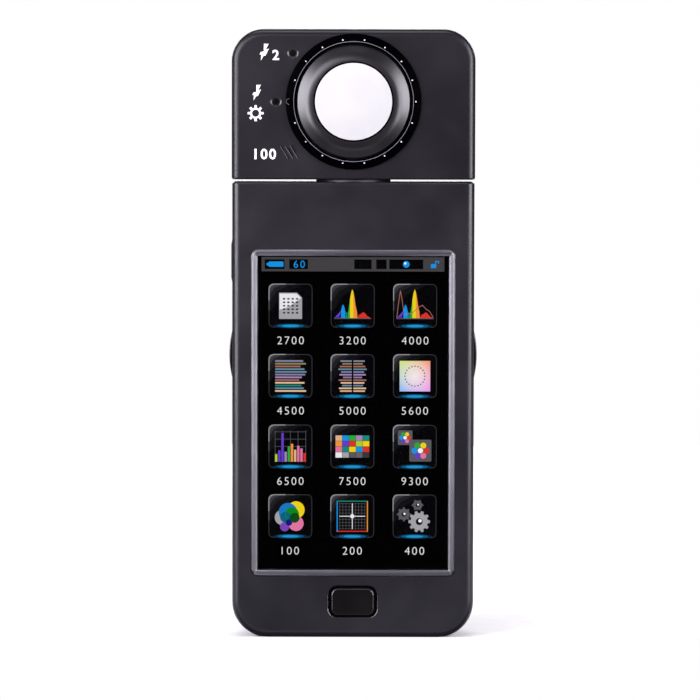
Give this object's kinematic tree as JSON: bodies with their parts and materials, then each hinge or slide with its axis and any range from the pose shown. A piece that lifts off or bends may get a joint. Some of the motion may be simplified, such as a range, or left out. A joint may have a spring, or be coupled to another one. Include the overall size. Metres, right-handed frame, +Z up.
{
  "type": "spectrometer",
  "caption": "Hand-held spectrometer with a large touch screen, a menu key, side keys and a turning head that carries a domed light receptor with a ribbed selector ring.",
  "frame": {"origin": "centre of the flat bottom face, on the swivel's axis", "axes": "+Z up along the body and the swivel, +Y out of the back, the screen and receptor face -Y, +X to the right of someone reading the screen"},
  "size_m": [0.0746, 0.027, 0.183],
  "materials": {
    "case_plastic": "fine matte texture",
    "head_plastic": "fine matte texture",
    "key_plastic": "smooth satin gloss",
    "bezel_metal": "satin, bevelled",
    "cover_glass": "polished",
    "display": "smooth",
    "sheet_metal": "stamped",
    "screw_steel": "turned",
    "circuit_board": "solder mask",
    "chip_black": "moulded",
    "inner_plastic": "moulded",
    "rubber": "matte",
    "cell_wrap": "printed film sleeve, plain",
    "insert_brass": "turned",
    "swivel_alloy": "anodised",
    "cone_plastic": "satin",
    "ring_plastic": "satin, worn bright on the rim",
    "diffuser_white": "opal, smooth",
    "filter_glass": "polished",
    "mirror": "polished"
  },
  "bodies": {
    "body": {"front_case": "case_plastic", "rear_case": "case_plastic", "screen_bezel": "bezel_metal", "cover_glass": "cover_glass", "display_panel": "display", "chassis_plate": "sheet_metal", "chassis_screws": "screw_steel", "main_board": "circuit_board", "board_parts": "chip_black", "port_board": "circuit_board", "board_screws": "screw_steel", "data_socket": "sheet_metal", "sync_socket": "inner_plastic", "menu_board": "circuit_board", "side_key_boards": "circuit_board", "side_key_domes": "screw_steel", "battery_tray": "inner_plastic", "battery_contacts": "sheet_metal", "cell_1": "cell_wrap", "cell_2": "cell_wrap", "door_hinge_pin": "screw_steel", "tripod_insert": "insert_brass", "strap_pin": "screw_steel", "body_screws": "screw_steel", "neck_bush": "inner_plastic", "thrust_washer": "screw_steel"},
    "head": {"swivel_tube": "swivel_alloy", "stop_pin": "screw_steel", "retaining_clip": "screw_steel", "head_front_case": "head_plastic", "head_rear_case": "head_plastic", "head_screws": "screw_steel", "receptor_cup": "cone_plastic", "hub_screw": "screw_steel", "diffuser": "diffuser_white", "diffuser_seal": "rubber", "detent_spring": "sheet_metal", "optical_block": "inner_plastic", "block_screws": "screw_steel", "fold_mirror": "mirror", "slit_plate": "sheet_metal", "grating": "filter_glass", "sensor_board": "circuit_board", "line_sensor": "chip_black", "block_cover": "inner_plastic"},
    "ring": {"selector_ring": "ring_plastic", "filter_wheel": "inner_plastic", "dimming_filter": "filter_glass"},
    "battery_door": {"battery_door": "case_plastic"},
    "port_cover": {"port_cover": "rubber"},
    "menu_button": {"menu_button": "key_plastic"},
    "left_measure_button": {"left_measure_button": "key_plastic"},
    "right_measure_button": {"right_measure_button": "key_plastic"},
    "power_button": {"power_button": "case_plastic"},
    "memory_button": {"memory_button": "case_plastic"}
  },
  "joints": [
    {"name": "head_swivel", "type": "hinge", "parent": "body", "child": "head", "pos_m": [0, 0, 0.138], "axis": [0, 0, 1], "range_deg": [-90, 180]},
    {"name": "selector_turn", "type": "hinge", "parent": "head", "child": "ring", "pos_m": [0, -0.0135, 0.1613], "axis": [0, -1, 0], "range_deg": [-38.5, 38.5]},
    {"name": "menu_press", "type": "slide", "parent": "body", "child": "menu_button", "axis": [0, 1, 0], "range_m": [0, 0.0005], "stiffness_N_per_m": 800},
    {"name": "left_measure_press", "type": "slide", "parent": "body", "child": "left_measure_button", "axis": [1, 0, 0], "range_m": [0, 0.0007], "stiffness_N_per_m": 800},
    {"name": "right_measure_press", "type": "slide", "parent": "body", "child": "right_measure_button", "axis": [-1, 0, 0], "range_m": [0, 0.0007], "stiffness_N_per_m": 800},
    {"name": "power_press", "type": "slide", "parent": "body", "child": "power_button", "axis": [1, 0, 0], "range_m": [0, 0.0004], "stiffness_N_per_m": 800},
    {"name": "memory_press", "type": "slide", "parent": "body", "child": "memory_button", "axis": [-1, 0, 0], "range_m": [0, 0.0004], "stiffness_N_per_m": 800},
    {"name": "battery_door_open", "type": "hinge", "parent": "body", "child": "battery_door", "pos_m": [0, 0.0102, 0.0677], "axis": [1, 0, 0], "range_deg": [0, 85]},
    {"name": "port_cover_open", "type": "hinge", "parent": "body", "child": "port_cover", "pos_m": [0.03635, 0.003, 0.035], "axis": [0, 0, 1], "range_deg": [0, 100], "stiffness_Nm_per_rad": 0.001}
  ]
}
